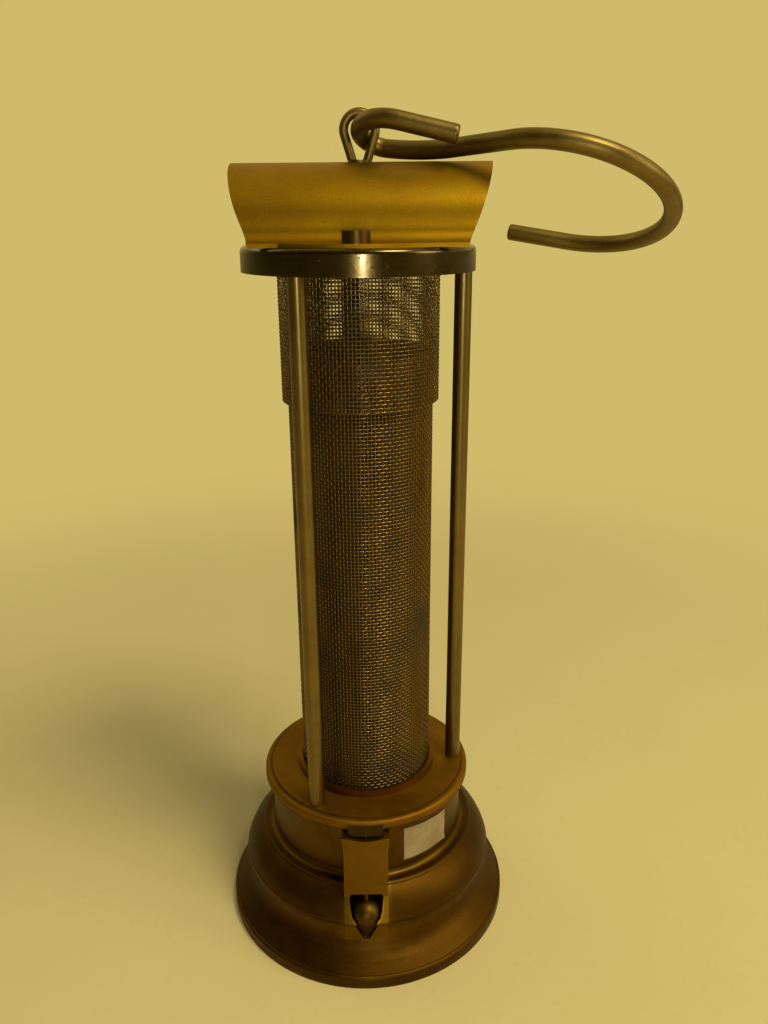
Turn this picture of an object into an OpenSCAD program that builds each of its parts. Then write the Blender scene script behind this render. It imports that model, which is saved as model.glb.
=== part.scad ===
// Gauze safety lamp for miners: a moulded oil vessel with a lock on its neck, a frame of three pillars
// round a gauze chimney that screws into the neck, a hood over the top ring, and a hook in a swivel eye.
// Sizes are in millimetres. The lamp stands on z = 0, its axis is Z and its lock faces the front at -Y.

/* [Gauze] */
// Outside radius of the tall inner gauze
gauze_r = 20.7; // [18:0.1:24]
// Thickness of one gauze layer
gauze_t = 0.8; // [0.6:0.1:1]
// Radial gap between the inner gauze and its cap
cap_gap = 0.8; // [0.5:0.1:1]
// Length of the gauze cap
cap_len = 39.7; // [32:0.1:45]
// Depth of the cap's closed top below the top of the ring
cap_recess = 2; // [1:0.1:4]
// Space between the inner gauze and the cap's closed top
cap_space = 25.7; // [15:0.1:30]
// Radial gap round a gauze where it passes through a ring
gauze_gap = 0.3; // [0.1:0.05:0.5]
// Thickness of the ring round the foot of the gauze
seat_ring_t = 1.4; // [1:0.1:2]
// Height of the ring round the foot of the gauze
seat_ring_h = 2.2; // [1.5:0.1:4]

/* [Frame] */
// Radius of a pillar
pillar_r = 2.4; // [2.2:0.1:3.5]
// Length of a pillar between its two rings
pillar_len = 155.4; // [152:0.2:180]
// Clear gap between the gauze cap and a pillar
pillar_gap = 3.9; // [3:0.1:6]
// Angle of the front left pillar round the axis
pillar_turn = -121.2; // [-135:0.1:-115]
// Radius of the turned-down pillar ends
tenon_r = 1.7; // [1.2:0.1:1.8]
// Play round a pillar end, screw or tube in its hole
fit_gap = 0.03; // [0.02:0.01:0.05]
// Width of the flange outside the pillars
flange_margin = 2.3; // [2:0.1:4]
// Thickness of the flange at its rim
flange_t = 2; // [1.8:0.1:3]
// Drop of the rim below the flange
rim_drop = 1.4; // [1:0.1:1.4]
// Rounding of the rim's edges
rim_round = 1.1; // [0.7:0.1:1.2]
// Height of the pillar seats above the rim
land_rise = 0.5; // [0.3:0.1:0.8]
// Width of the groove inside the rim
groove_w = 0.6; // [0.4:0.1:0.8]
// Depth of the groove inside the rim
groove_d = 0.7; // [0.4:0.1:1]
// Wall of the screwed spigot below the flange
spigot_wall = 2.6; // [2:0.1:3]
// Width of the top ring outside the pillars
ring_margin = 0.7; // [0.6:0.1:2]
// Thickness of the top ring
ring_t = 6.6; // [6:0.1:9]
// Rounding of the top ring's upper edge
ring_round = 1.3; // [0.8:0.1:1.6]

/* [Hood] */
// Thickness of the hood sheet
hood_t = 1; // [0.8:0.1:1.2]
// Height of the hood above the ring
hood_h = 20.6; // [19:0.1:24]
// Half width of the hood at its sides
hood_half_w = 19; // [18:0.1:20]
// Radius of the rounded hood sides
hood_side_r = 11; // [9:0.1:12]
// Radius of the flare above a hood foot
flare_r = 4; // [3:0.1:4.5]
// Straight height of the side above the flare
side_h = 0.6; // [0.4:0.1:1]
// Edge of a hood foot beyond its screw's head
foot_edge = 0.2; // [0.1:0.1:0.5]
// Half length of the hood along its top
hood_top_half = 34.1; // [31:0.1:38]
// Half length of the hood along its feet
hood_foot_half = 26.8; // [22:0.1:29]
// Outward bulge of the slanting hood ends
hood_end_bulge = 0.6; // [0.3:0.1:1.5]
// Turn of the hood round the axis
hood_yaw = -2.5; // [-10:0.5:10]
// Distance of the hood's middle from the lamp's axis
hood_x = 1.2; // [0:0.1:1.4]
// Radius of a screw head
screw_head_r = 3.5; // [2.6:0.1:3.5]
// Height of a screw head
screw_head_h = 3; // [2:0.1:3.2]
// Width of a screw slot
slot_w = 0.9; // [0.7:0.1:1.2]
// Depth of a screw slot
slot_d = 1.1; // [0.8:0.1:1.4]
// Radius of a screw shank
screw_r = 1.5; // [1.2:0.1:1.8]
// Depth of a screw in the ring
screw_depth = 4.6; // [3:0.1:5]

/* [Swivel] */
// Distance of the swivel from the lamp's axis
swivel_x = 0.8; // [0:0.1:2]
// Radius of the shank that turns in the hood
shank_r = 3.2; // [2.8:0.1:3.4]
// Running clearance of the shank in the hood
turn_gap = 0.06; // [0.04:0.01:0.1]
// Radius of the loop's wire
loop_wire_r = 1.2; // [1.1:0.05:1.4]
// Gap between the hook and the top of the loop
link_gap = 0.55; // [0.5:0.05:0.8]
// Gap between the hook and the sides of the loop
link_side_gap = 0.55; // [0.5:0.05:0.8]
// Gap between hood and swivel parts across the curved sheet
sheet_gap = 0.35; // [0.3:0.05:0.5]
// Radius of the washer under the hood
washer_r = 4.6; // [4.4:0.1:5.4]
// Thickness of the washer under the hood
washer_t = 1; // [0.8:0.1:1.4]
// Width of the riveted edge below the washer
rivet_w = 0.7; // [0.5:0.1:1]
// Height of the riveted edge below the washer
rivet_h = 0.9; // [0.6:0.1:1.2]

/* [Hook] */
// Radius of the hook's wire
hook_r = 2.35; // [2:0.05:2.4]
// Tilt of the hook down to the back
hook_tilt = 21.8; // [20:0.1:26]
// Slope of the hook down to the right
hook_slope = 15.7; // [12:0.1:17]
// Gap between the hood and the resting hook
rest_gap = 0.3; // [0.25:0.05:0.6]
// Bend radius of the eye behind the loop
eye_r = 5.7; // [5.4:0.1:7]
// Turn of the bend behind the loop
eye_turn = 109; // [100:0.5:115]
// Bend radius of the arm that follows it
arm_r = 53; // [45:1:65]
// Turn of that arm
arm_turn = 21.5; // [18:0.5:25]
// Straight length of the hook's shank
shank_len = 17.2; // [14:0.1:30]
// Bend radius of the hook's bow
bow_r = 28.2; // [24:0.1:32]
// Turn of the bow
bow_turn = 207; // [195:0.5:215]
// Straight length of the tip
tip_len = 17.2; // [10:0.1:20]
// Bend radius of the eye in front of the loop
front_r = 10.8; // [10:0.1:12]
// Turn of the bend in front of the loop
front_turn = 87; // [80:0.5:90]
// Straight length of the eye's returning end
return_len = 15.2; // [10:0.1:15.6]
// Rounding of the hook's cut ends
end_round = 0.7; // [0.4:0.1:1]

/* [Oil vessel] */
// Height of the upright foot rim
foot_rim_h = 3.2; // [2.5:0.1:5]
// Rounding on top of the foot rim
foot_round = 0.9; // [0.6:0.1:1.2]
// Wall of the foot rim
foot_wall = 2.5; // [2:0.1:3]
// Rise of the sloping band
band_rise = 2.7; // [2.2:0.1:3.2]
// Width of the sloping band
band_w = 3.7; // [3:0.1:4.5]
// Height of the hollow waist
waist_h = 11.2; // [10:0.1:14]
// Flare of the hollow waist toward the foot
waist_flare = 3.7; // [3:0.1:4.5]
// Depth of the hollow waist's curve
waist_sag = 1.8; // [1.2:0.1:2]
// Overhang of the bell's lip over the waist
lip_out = 2.1; // [1.8:0.1:2.6]
// Rounding of the bell's lip
lip_round = 1.5; // [1.2:0.1:1.6]
// Height of the lip's middle above the waist
lip_rise = 1.7; // [1.6:0.1:2.2]
// Height of the bell above its lip
bell_h = 8.9; // [8:0.1:12]
// Flare of the bell below the shoulder
bell_flare = 6.4; // [5:0.1:8]
// Outward bulge of the bell
bell_bulge = 0.9; // [0.5:0.1:1.2]
// Step from the neck out to the shoulder
shoulder_step = 3.4; // [2.8:0.1:4]
// Rounding between the shoulder and the neck
neck_fillet = 1.6; // [1.2:0.1:2]
// Height of the shoulder's edge
shoulder_edge = 0.3; // [0.2:0.1:0.6]
// Rounding of the shoulder's edge
crest_round = 1; // [0.8:0.1:1.2]
// Height of the neck above the shoulder
neck_h = 19.6; // [18:0.1:24]
// Step from the flange rim in to the neck
neck_step = 2.3; // [2:0.1:2.6]
// Wall of the vessel
vessel_wall = 1.6; // [1.2:0.1:1.8]
// Height of the base plate's underside
plate_z = 8.4; // [8:0.1:9.5]
// Thickness of the base plate
plate_t = 1.4; // [1:0.1:1.6]
// Width of the ledge over the base plate
plate_ledge = 1; // [0.8:0.1:1.2]

/* [Burner] */
// Wall of the neck collar
collar_wall = 2.8; // [2.4:0.1:3]
// Height of the neck collar
collar_h = 8.2; // [8:0.1:10]
// Thickness of the collar's ledge
ledge_t = 1.4; // [1:0.1:2]
// Width of the ledge inside the spigot
ledge_in = 3; // [2.5:0.1:4]
// Thread clearance between collar and spigot
thread_gap = 0.08; // [0.04:0.01:0.1]
// Gap between the neck and the flange above it
neck_gap = 0.2; // [0.1:0.05:0.4]
// Thickness of the leather washer
leather_t = 1; // [0.8:0.1:1.4]
// Gap round the leather washer
leather_gap = 0.35; // [0.3:0.05:0.6]
// Thickness of the burner plate
burner_t = 1.5; // [1:0.1:2]
// Gap between burner plate and spigot
burner_gap = 0.9; // [0.8:0.1:1.4]
// Outside radius of the wick tube
wick_tube_r = 3.6; // [3:0.1:4.5]
// Wall of the wick and pricker tubes
tube_wall = 0.7; // [0.5:0.1:0.9]
// Height of the wick tube above the burner plate
wick_tube_up = 15; // [10:0.5:20]
// Depth of the wick tube below the burner plate
wick_tube_down = 6; // [4:0.5:12]
// Height of the wick above its tube
wick_up = 2; // [1:0.1:4]
// Depth of the wick below its tube
wick_down = 18; // [10:0.5:20]
// Distance of the pricker from the axis
pricker_at = 12; // [10:0.1:13]
// Radius of the pricker wire
pricker_r = 1; // [0.8:0.05:1.2]
// Running clearance of the pricker in its tube
pricker_gap = 0.06; // [0.04:0.01:0.1]
// Bend radius of the pricker
pricker_bend = 2.5; // [2:0.1:3]
// Gap between the wick and the pricker's tip
pricker_clear = 0.8; // [0.6:0.1:2]
// Straight length of the pricker's tip
pricker_tip = 7.5; // [6:0.1:8]
// Straight length of the pricker's handle
pricker_handle = 12; // [8:0.5:18]
// Height of the pricker's handle above the ground
handle_z = 3.4; // [2:0.1:4]
// Radius of the ball at the handle's end
handle_ball_r = 1.5; // [1.3:0.1:1.8]

/* [Lock] */
// Width of the lock housing
lug_w = 13.2; // [12:0.1:15]
// Flare of the housing's upper corners
lug_flare = 0.5; // [0.3:0.1:1]
// Height of the flared corners
lug_flare_h = 5; // [3:0.1:8]
// Distance of the housing's top from the neck
lug_top_out = 4.6; // [4.2:0.1:5.2]
// Distance of the housing's lower edge from the neck
lug_low_out = 7.2; // [7:0.1:8]
// Drop from the neck's top to the housing's top
lug_drop = 1.7; // [1.6:0.1:2.4]
// Height of the upper housing
lug_h = 19; // [17:0.1:19.5]
// Depth of the scoop in the housing's top
scoop_d = 1; // [0.6:0.1:1.4]
// Half width of the scoop in the housing's top
scoop_half = 5.4; // [4:0.1:6]
// How far the pocket block stands out of the bell
lug_proud = 0.8; // [0.5:0.1:1.2]
// Distance of the block's lower edge below the lip
lug_below = 8.2; // [8:0.1:8.6]
// Wall behind the pocket
pocket_wall = 1.4; // [1:0.1:2]
// Slant of the lock bolt
bolt_tilt = 9.5; // [8:0.1:10]
// Radius of the bolt's pin
pin_r = 0.75; // [0.7:0.05:0.8]
// Running clearance of the pin in the housing
pin_gap = 0.05; // [0.04:0.01:0.08]
// Distance of the bolt's upper end from the neck
pin_out = 2.3; // [2.3:0.05:2.5]
// Radius of the bolt's acorn head
acorn_r = 4.4; // [4:0.1:4.6]
// Distance from the acorn's point to the middle of its ball
acorn_point = 9.2; // [8.4:0.1:9.4]
// Gap round the acorn in its pocket
acorn_gap = 0.8; // [0.6:0.1:1]
// Travel of the lock bolt
lock_travel = 1.5; // [1:0.1:1.6]
// Free gap above the acorn when it is raised
acorn_free = 0.4; // [0.3:0.05:0.8]
// Thickness of the lock tab below the flange
tab_t = 1.5; // [1.4:0.1:1.6]
// Half width of the lock tab
tab_half = 5.2; // [4:0.1:6]
// Distance of the lock tab's face from the neck
tab_out = 4; // [3.9:0.1:4.4]
// Gap between the tab and the neck, and round the pin in the tab
tab_gap = 0.35; // [0.3:0.05:0.45]
// Rounding of the tab's lower corners
tab_round = 1.2; // [0.8:0.1:1.3]

/* [Hidden] */
$fn = 72;
over = 1;
seam = 0.01;
lap = 0.3;

// Radii from the gauze outward
cap_r = gauze_r + cap_gap + gauze_t;
pillar_circle = cap_r + pillar_gap + pillar_r;
flange_r = pillar_circle + pillar_r + flange_margin;
groove_r = pillar_circle + pillar_r + over / 10;
rim_in = groove_r + groove_w;
ring_r = pillar_circle + pillar_r + ring_margin;
ring_bore = cap_r + gauze_gap;
neck_r = flange_r - neck_step;
neck_bore = neck_r - vessel_wall;
collar_r = neck_bore - fit_gap;
collar_bore = collar_r - collar_wall;
spigot_r = collar_bore - thread_gap;
spigot_bore = spigot_r - spigot_wall;
burner_r = spigot_bore - burner_gap;
ledge_r = spigot_bore - ledge_in;
flange_bore = gauze_r + gauze_gap;
shoulder_r = neck_r + shoulder_step;
bell_r = shoulder_r + bell_flare;
waist_r = bell_r - lip_out;
band_r = waist_r + waist_flare;
foot_r = band_r + band_w;

// Heights from the ground upward
band_z = foot_rim_h + foot_round;
ridge_z = band_z + band_rise;
waist_z = ridge_z + waist_h;
lip_z = waist_z + lip_rise;
shoulder_z = lip_z + bell_h;
fillet_z = shoulder_z + shoulder_edge + neck_fillet;
neck_z = shoulder_z + neck_h;
flange_z = neck_z + neck_gap;
rim_low = flange_z - rim_drop;
rim_z = flange_z + flange_t;
land_z = rim_z + land_rise;
ring_z = land_z + pillar_len;
ring_top = ring_z + ring_t;
crown_z = ring_top + hood_h;
cap_top_z = ring_top - cap_recess;
gauze_top_z = cap_top_z - cap_space;
plate_top = plate_z + plate_t;
collar_z = neck_z - collar_h;
ledge_z = collar_z + ledge_t;
leather_z = ledge_z + leather_t;
burner_z = ledge_z + burner_t;
web_z = flange_z - flange_t / 2;

// Waist and bell curves through two points with a given sag
function arc_r(p, q, sag) = (pow(norm(q - p), 2) / 4 + sag * sag) / (2 * sag);
function side(p, q) = [p[1] - q[1], q[0] - p[0]] / norm(q - p);
function arc_mid(p, q, sag) = (p + q) / 2 - side(p, q) * (arc_r(p, q, sag) - sag);
waist_low = [band_r, ridge_z];
waist_top = [waist_r, waist_z];
waist_bend = arc_r(waist_top, waist_low, waist_sag);
waist_mid = (waist_low + waist_top) / 2 - side(waist_low, waist_top) * (waist_bend - waist_sag);
lip_mid = [bell_r - lip_round, lip_z];
lip_angle = 35;
bell_low = lip_mid + lip_round * [cos(lip_angle), sin(lip_angle)];
bell_top = [shoulder_r, shoulder_z];
bell_side = vessel_wall * side(bell_top, bell_low);
cavity_r = waist_mid[0] - waist_bend - vessel_wall;
plate_r = cavity_r + plate_ledge;

// Hood section
foot_top = ring_top + hood_t;
side_z = foot_top + flare_r + side_h;
rise = crown_z - side_z;
crown_r = (pow(hood_half_w, 2) + rise * rise - 2 * hood_half_w * hood_side_r) / (2 * (rise - hood_side_r));
crown_mid = crown_z - crown_r;
join_angle = atan2(side_z - crown_mid, hood_half_w - hood_side_r);
screw_y = hood_half_w + flare_r + screw_head_r;
foot_reach = screw_y + screw_head_r + foot_edge;
end_steps = 10;
hood_lap = lap / 2;
crown_lap = hood_lap / crown_r * 180 / PI;
hood_reach = 2 * foot_r;
end_low = [hood_foot_half, ring_top - over / 2];
end_high = [hood_top_half, crown_z + over / 2];
function end_point(t) = end_low + t * (end_high - end_low)
    + 4 * t * (1 - t) * hood_end_bulge * side(end_high, end_low);

// Hook plane: across to the right, back and square to both
hook_n = [sin(hook_slope), sin(hook_tilt) * cos(hook_slope), cos(hook_tilt) * cos(hook_slope)];
hook_a = ([1, 0, 0] - hook_n * hook_n[0]) / norm([1, 0, 0] - hook_n * hook_n[0]);
hook_b = cross(hook_n, hook_a);
eye_end = 90 - eye_turn;
low_way = -atan(hook_a[2] / hook_b[2]);
low_u = eye_r * (1 - sin(eye_end)) + arm_r * (sin(eye_end) - sin(low_way));
low_v = eye_r * cos(eye_end) + arm_r * (cos(low_way) - cos(eye_end));
eye_drop = -(low_u * hook_a[2] + low_v * hook_b[2]);
hook_z = crown_z + rest_gap + hook_r + eye_drop;
loop_r = hook_r + link_side_gap + loop_wire_r;
loop_top = hook_z + (hook_r + loop_wire_r + link_gap) / cos(hook_tilt);
loop_mid = loop_top - loop_r;
shank_top = crown_z + sheet_gap;
leg_x = shank_r - loop_wire_r;
leg_reach = norm([leg_x, loop_mid - shank_top]);
leg_len = sqrt(leg_reach * leg_reach - loop_r * loop_r);
leg_turn = atan2(loop_mid - shank_top, -leg_x) - asin(loop_r / leg_reach);
washer_top = crown_mid + sqrt(pow(crown_r - hood_t, 2) - washer_r * washer_r) - sheet_gap;
washer_z = washer_top - washer_t;

// Lock bolt: its upper end at rest and its slanting direction
lug_top = neck_z - lug_drop;
lug_z = lug_top - lug_h;
tab_z = flange_z - tab_t;
block_z = lip_z - lug_below;
pin_top_z = tab_z - tab_gap;
pin_y = -(neck_r + pin_out);
bolt_drop = (pin_top_z - lug_z) / cos(bolt_tilt);
slant_room = (neck_r + lug_low_out + pin_y) * sin(bolt_tilt) / 4;
acorn_top = bolt_drop + lock_travel + acorn_free + slant_room;
acorn_mid = acorn_top + acorn_r;
pocket_r = acorn_r + acorn_gap;
block_low_r = waist_mid[0] - sqrt(waist_bend * waist_bend - pow(block_z - waist_mid[1], 2));
acorn_side = acorn_r * [sqrt(1 - pow(acorn_r / acorn_point, 2)), -acorn_r / acorn_point];
block_back = pin_y - (acorn_mid * sin(bolt_tilt)) + pocket_r + pocket_wall;

// Pricker
pricker_wire_z = burner_z + wick_tube_up + wick_up + pricker_clear + pricker_r;
pricker_bore = pricker_r + pricker_gap;
pricker_tube_r = pricker_bore + tube_wall;

brass = [0.72, 0.56, 0.28];
bronze = [0.36, 0.27, 0.17];
steel = [0.42, 0.38, 0.33];
leather = [0.25, 0.17, 0.1];
cotton = [0.85, 0.8, 0.7];

module tube(r_out, r_in, low, high) {
    translate([0, 0, low]) difference() {
        cylinder(r = r_out, h = high - low);
        translate([0, 0, -over]) cylinder(r = r_in, h = high - low + 2 * over);
    }
}

module disc(r, low, high) {
    translate([0, 0, low]) cylinder(r = r, h = high - low);
}

// Half outline of the vessel from its axis to its outside
module vessel_outline() {
    square([foot_r, foot_rim_h]);
    translate([foot_r - foot_round, foot_rim_h]) circle(r = foot_round);
    difference() {
        polygon([[0, 0], [foot_r - foot_round, 0], [foot_r - foot_round, band_z], waist_low, waist_top,
                 [0, waist_z]]);
        translate(waist_mid) circle(r = waist_bend);
    }
    translate([0, waist_z - over]) square([waist_r - over, over + lip_rise]);
    translate([0, waist_z]) square([waist_r, lip_rise]);
    translate(lip_mid) circle(r = lip_round);
    polygon([[0, lip_z], lip_mid, bell_low, bell_top, [0, shoulder_z]]);
    intersection() {
        translate(arc_mid(bell_top, bell_low, bell_bulge))
            circle(r = arc_r(bell_top, bell_low, bell_bulge));
        polygon([bell_low + bell_side, bell_top + bell_side, bell_top - bell_side, bell_low - bell_side]);
    }
    translate([0, shoulder_z - over]) square([shoulder_r - shoulder_edge, over + shoulder_edge]);
    difference() {
        translate([0, shoulder_z]) square([neck_r + neck_fillet, shoulder_edge + neck_fillet]);
        translate([neck_r + neck_fillet, fillet_z]) circle(r = neck_fillet);
    }
    translate([shoulder_r - shoulder_edge, shoulder_z + shoulder_edge - crest_round])
        circle(r = crest_round);
    translate([0, shoulder_z]) square([neck_r, neck_h]);
}

// Hollow of the vessel above the base plate, and of the foot below it
module vessel_hollow() {
    polygon([[0, plate_top], [cavity_r, plate_top], [cavity_r, waist_z],
             [bell_r - lip_round - vessel_wall / 2, lip_z],
             [shoulder_r - vessel_wall, shoulder_z - vessel_wall],
             [neck_bore, shoulder_z - vessel_wall / 2],
             [neck_bore, neck_z + over], [0, neck_z + over]]);
    polygon([[0, -over], [foot_r - foot_wall, -over], [foot_r - foot_wall, foot_rim_h - foot_round],
             [plate_r + fit_gap, plate_z], [plate_r + fit_gap, plate_top], [0, plate_top]]);
}

// Place along the slanting bolt: origin at the pin's top, z upward along the bolt
module on_bolt() {
    translate([0, pin_y, pin_top_z]) rotate([-bolt_tilt, 0, 0]) children();
}

// Acorn with its ball's middle at the origin and its point downward
module acorn() {
    rotate_extrude() intersection() {
        union() {
            circle(r = acorn_r);
            polygon([[0, -acorn_point], acorn_side, [0, acorn_side[1]]]);
        }
        translate([0, -2 * acorn_point]) square([2 * acorn_r, 4 * acorn_point]);
    }
}

// Pocket that leaves a gap round the acorn and gives it room to rise
module acorn_pocket() {
    grow = pocket_r / acorn_r;
    depth = acorn_point + over / 10;
    blunt = acorn_side[0] * (acorn_point * grow - depth) / (acorn_point + acorn_side[1]);
    rotate_extrude() polygon([[0, -depth], [blunt, -depth], grow * acorn_side, [pocket_r, 0],
                              [pocket_r, acorn_mid - bolt_drop + over / 2],
                              [0, acorn_mid - bolt_drop + over / 2]]);
}

module block_room(grow) {
    translate([-lug_w / 2 - grow, -foot_r - over, block_z - grow])
        cube([lug_w + 2 * grow, foot_r + over + block_back + grow, fillet_z - block_z + grow]);
}

module oil_vessel() {
    color(bronze) difference() {
        rotate_extrude() difference() {
            vessel_outline();
            vessel_hollow();
        }
        block_room(fit_gap);
    }
}

module base_plate() {
    color(bronze) difference() {
        disc(plate_r, plate_z, plate_top);
        translate([0, pricker_at, 0]) disc(pricker_tube_r + fit_gap, plate_z - over, plate_top + over);
    }
}

module neck_collar() {
    color(brass) {
        difference() {
            disc(collar_r, collar_z, neck_z);
            disc(collar_bore, ledge_z, neck_z + over);
            disc(ledge_r, collar_z - over, ledge_z + over);
        }
    }
}

module burner_plate() {
    color(brass) difference() {
        disc(burner_r, ledge_z, burner_z);
        disc(wick_tube_r + fit_gap, ledge_z - over, burner_z + over);
        translate([0, pricker_at, 0]) disc(pricker_tube_r + fit_gap, ledge_z - over, burner_z + over);
    }
}

module wick_tube() {
    color(brass)
        tube(wick_tube_r, wick_tube_r - tube_wall, ledge_z - wick_tube_down, burner_z + wick_tube_up);
}

module wick() {
    color(cotton) disc(wick_tube_r - tube_wall - fit_gap, ledge_z - wick_tube_down - wick_down,
                       burner_z + wick_tube_up + wick_up);
}

module pricker_tube() {
    color(brass) translate([0, pricker_at, 0])
        tube(pricker_tube_r, pricker_bore, plate_z, burner_z + over);
}

module pricker() {
    low = handle_z + pricker_bend;
    high = pricker_wire_z - pricker_bend;
    color(steel) translate([0, pricker_at, 0]) {
        disc(pricker_r, low, high);
        translate([pricker_bend, 0, high]) rotate([90, 0, 0]) rotate([0, 0, 90])
            rotate_extrude(angle = 90) translate([pricker_bend, 0]) circle(r = pricker_r);
        translate([pricker_bend, 0, pricker_wire_z]) rotate([0, 90, 0])
            cylinder(r = pricker_r, h = pricker_tip);
        translate([pricker_bend, 0, low]) rotate([90, 0, 0]) rotate([0, 0, 180])
            rotate_extrude(angle = 90) translate([pricker_bend, 0]) circle(r = pricker_r);
        translate([pricker_bend, 0, handle_z]) rotate([0, 90, 0])
            cylinder(r = pricker_r, h = pricker_handle);
        translate([pricker_bend + pricker_handle, 0, handle_z]) sphere(r = handle_ball_r);
    }
}

// Housing of the lock: upper block on the neck, and the pocket block let into the bell
module lock_lug() {
    scoop_r = (scoop_half * scoop_half + scoop_d * scoop_d) / (2 * scoop_d);
    color(brass) difference() {
        union() {
            difference() {
                intersection() {
                    rotate([90, 0, 90]) translate([0, 0, -lug_w]) linear_extrude(height = 2 * lug_w)
                        polygon([[block_back, lug_z], [-(neck_r + lug_low_out), lug_z],
                                 [-(neck_r + lug_top_out), lug_top], [block_back, lug_top]]);
                    rotate([90, 0, 0]) linear_extrude(height = foot_r)
                        polygon([[-lug_w / 2, lug_z], [lug_w / 2, lug_z],
                                 [lug_w / 2, lug_top - lug_flare_h],
                                 [lug_w / 2 + lug_flare, lug_top], [-lug_w / 2 - lug_flare, lug_top],
                                 [-lug_w / 2, lug_top - lug_flare_h]]);
                }
                disc(neck_r + fit_gap, fillet_z, lug_top + over);
            }
            intersection() {
                block_room(0);
                rotate_extrude() polygon([[0, block_z], [block_low_r, block_z], waist_top,
                                          [bell_r, waist_z + lip_rise / 4], [bell_r + lug_proud, lip_z],
                                          [bell_r + lug_proud, lip_z + lip_round / 2],
                                          bell_top + [lug_proud + over, 0], [0, shoulder_z]]);
            }
        }
        on_bolt() translate([0, 0, -acorn_top - over])
            cylinder(r = pin_r + pin_gap, h = acorn_top + 3 * over);
        on_bolt() translate([0, 0, -acorn_mid]) acorn_pocket();
        translate([0, over, lug_top + scoop_r - scoop_d]) rotate([90, 0, 0])
            cylinder(r = scoop_r, h = foot_r);
    }
}

module lock_bolt() {
    color(bronze) on_bolt() {
        translate([0, 0, -acorn_mid]) acorn();
        translate([0, 0, -acorn_mid]) cylinder(r = pin_r, h = acorn_mid);
    }
}

module seal_washer() {
    color(leather) tube(collar_bore - leather_gap, burner_r + leather_gap, ledge_z, leather_z);
}

module lower_ring() {
    color(bronze) difference() {
        union() {
            rotate_extrude() {
                difference() {
                    translate([flange_bore, flange_z])
                        square([flange_r - rim_round - flange_bore, land_z - flange_z]);
                    translate([groove_r, land_z - groove_d]) square([flange_margin, groove_d + over]);
                }
                translate([rim_in, rim_low]) square([flange_r - rim_round - rim_in, rim_z - rim_low]);
                translate([rim_in, rim_low + rim_round])
                    square([flange_r - rim_in, rim_z - rim_low - 2 * rim_round]);
                for (z = [rim_low + rim_round, rim_z - rim_round])
                    translate([flange_r - rim_round, z]) circle(r = rim_round);
                translate([flange_bore, web_z]) square([spigot_r - flange_bore, flange_z - web_z + over]);
                translate([spigot_bore, leather_z + neck_gap / 4])
                    square([spigot_wall, flange_z - leather_z]);
            }
            intersection() {
                tube(neck_r + tab_out, neck_r + tab_gap, tab_z, flange_z + flange_t / 2);
                rotate([90, 0, 0]) linear_extrude(height = foot_r) {
                    translate([-tab_half, tab_z + tab_round]) square([2 * tab_half, foot_rim_h]);
                    translate([tab_round - tab_half, tab_z]) square([2 * (tab_half - tab_round), tab_t]);
                    translate([tab_round - tab_half, tab_z + tab_round]) circle(r = tab_round);
                    translate([tab_half - tab_round, tab_z + tab_round]) circle(r = tab_round);
                }
            }
        }
        on_bolt() translate([0, 0, -over]) {
            cylinder(r = pin_r + tab_gap, h = over + tab_t);
            translate([-pin_r - tab_gap, 0, 0]) cube([2 * (pin_r + tab_gap), pin_out, over + tab_t]);
        }
        for (i = [0:2]) rotate([0, 0, pillar_turn + 120 * i]) translate([pillar_circle, 0, 0])
            disc(tenon_r + fit_gap, flange_z - fit_gap, land_z + over);
    }
}

module gauze_seat_ring() {
    color(brass) tube(flange_bore + seat_ring_t, flange_bore, land_z, land_z + seat_ring_h);
}

module inner_gauze() {
    color(steel) tube(gauze_r, gauze_r - gauze_t, web_z, gauze_top_z - gauze_t);
}

module gauze_top() {
    color(steel) disc(gauze_r, gauze_top_z - gauze_t, gauze_top_z);
}

module gauze_cap() {
    color(steel) tube(cap_r, cap_r - gauze_t, cap_top_z - cap_len, cap_top_z - gauze_t);
}

module cap_top() {
    color(steel) disc(cap_r, cap_top_z - gauze_t, cap_top_z);
}

module pillar(turn) {
    color(bronze) rotate([0, 0, turn]) translate([pillar_circle, 0, 0]) {
        disc(pillar_r, land_z, ring_z);
        disc(tenon_r, flange_z, land_z + over);
        disc(tenon_r, ring_z - over, ring_top);
    }
}

module pillar_front_left() { pillar(pillar_turn); }

module pillar_right() { pillar(pillar_turn + 120); }

module pillar_back_left() { pillar(pillar_turn + 240); }

module top_ring() {
    color(bronze) difference() {
        rotate_extrude() {
            translate([ring_bore, ring_z]) square([ring_r - ring_bore, ring_t - ring_round]);
            translate([ring_bore, ring_z]) square([ring_r - ring_round - ring_bore, ring_t]);
            translate([ring_r - ring_round, ring_top - ring_round]) circle(r = ring_round);
        }
        for (i = [0:2]) rotate([0, 0, pillar_turn + 120 * i]) translate([pillar_circle, 0, 0])
            disc(tenon_r + fit_gap, ring_z - over, ring_top + over);
        on_ring() for (s = [-1, 1]) translate([0, s * screw_y, 0])
            disc(screw_r + fit_gap, ring_top - screw_depth - fit_gap, ring_top + over);
    }
}

// Place of the hood and its screws on the ring
module on_ring() {
    translate([hood_x, 0, 0]) rotate([0, 0, hood_yaw]) children();
}

// Sheet bent round an axis along X between two angles, a little thinner where it laps another
module bent_sheet(r_in, from, to, thin) {
    rotate([90, 0, 90]) rotate([0, 0, from]) rotate_extrude(angle = to - from)
        translate([r_in + thin, -hood_reach]) square([hood_t - 2 * thin, 2 * hood_reach]);
}

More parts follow.
